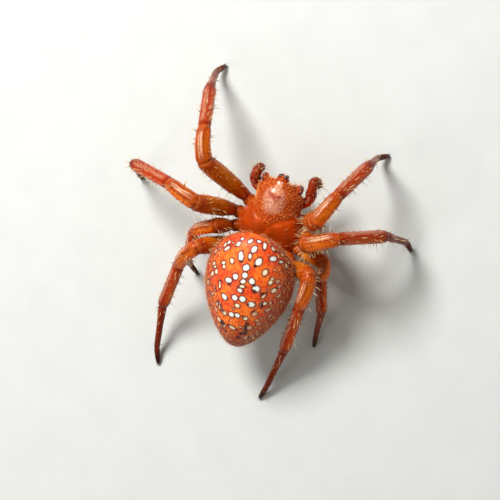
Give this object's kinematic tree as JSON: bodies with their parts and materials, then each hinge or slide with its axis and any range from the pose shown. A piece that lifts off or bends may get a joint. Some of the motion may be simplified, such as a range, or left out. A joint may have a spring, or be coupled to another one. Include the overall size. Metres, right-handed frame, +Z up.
{
  "type": "orb-weaver spider figure",
  "caption": "Life-size still model of an orange orb-weaver spider standing on its feet, with a spotted egg-shaped abdomen and slender bent legs.",
  "frame": {"origin": "on the floor under the middle of the whole animal's box", "axes": "+Z up, the head looks towards -Y, +X is the animal's left side"},
  "size_m": [0.0188, 0.0203, 0.0078],
  "materials": {
    "carapace": "glossy orange-brown cuticle with short pale hairs on the raised head",
    "abdomen": "satin orange-red skin with ringed white spots and dark purple marks",
    "spinnerets": "satin red-brown cuticle",
    "chelicerae": "glossy red-brown cuticle with dark fangs",
    "palps": "glossy red-orange cuticle with pale bristles",
    "eyes": "wet black",
    "leg_femur": "glossy amber-orange cuticle",
    "leg_patella": "glossy amber cuticle with pale streaks",
    "leg_tibia": "glossy red-orange cuticle with pale bristles",
    "leg_metatarsus": "satin red-brown cuticle with pale bristles",
    "leg_tarsus": "dark brown, nearly black at the claws"
  },
  "bodies": {
    "root": {"cephalothorax": "carapace", "abdomen": "abdomen", "spinnerets": "spinnerets", "eyes_median": "eyes", "eyes_lateral_left": "eyes", "eyes_lateral_right": "eyes", "chelicera_left": "chelicerae", "palp_left_femur": "palps", "palp_left_tip": "palps", "chelicera_right": "chelicerae", "palp_right_femur": "palps", "palp_right_tip": "palps", "leg_1_left_femur": "leg_femur", "leg_1_left_patella": "leg_patella", "leg_1_left_tibia": "leg_tibia", "leg_1_left_metatarsus": "leg_metatarsus", "leg_1_left_tarsus": "leg_tarsus", "leg_2_left_femur": "leg_femur", "leg_2_left_patella": "leg_patella", "leg_2_left_tibia": "leg_tibia", "leg_2_left_metatarsus": "leg_metatarsus", "leg_2_left_tarsus": "leg_tarsus", "leg_3_left_femur": "leg_femur", "leg_3_left_patella": "leg_patella", "leg_3_left_tibia": "leg_tibia", "leg_3_left_metatarsus": "leg_metatarsus", "leg_3_left_tarsus": "leg_tarsus", "leg_4_left_femur": "leg_femur", "leg_4_left_patella": "leg_patella", "leg_4_left_tibia": "leg_tibia", "leg_4_left_metatarsus": "leg_metatarsus", "leg_4_left_tarsus": "leg_tarsus", "leg_1_right_femur": "leg_femur", "leg_1_right_patella": "leg_patella", "leg_1_right_tibia": "leg_tibia", "leg_1_right_metatarsus": "leg_metatarsus", "leg_1_right_tarsus": "leg_tarsus", "leg_2_right_femur": "leg_femur", "leg_2_right_patella": "leg_patella", "leg_2_right_tibia": "leg_tibia", "leg_2_right_metatarsus": "leg_metatarsus", "leg_2_right_tarsus": "leg_tarsus", "leg_3_right_femur": "leg_femur", "leg_3_right_patella": "leg_patella", "leg_3_right_tibia": "leg_tibia", "leg_3_right_metatarsus": "leg_metatarsus", "leg_3_right_tarsus": "leg_tarsus", "leg_4_right_femur": "leg_femur", "leg_4_right_patella": "leg_patella", "leg_4_right_tibia": "leg_tibia", "leg_4_right_metatarsus": "leg_metatarsus", "leg_4_right_tarsus": "leg_tarsus"}
  },
  "joints": []
}
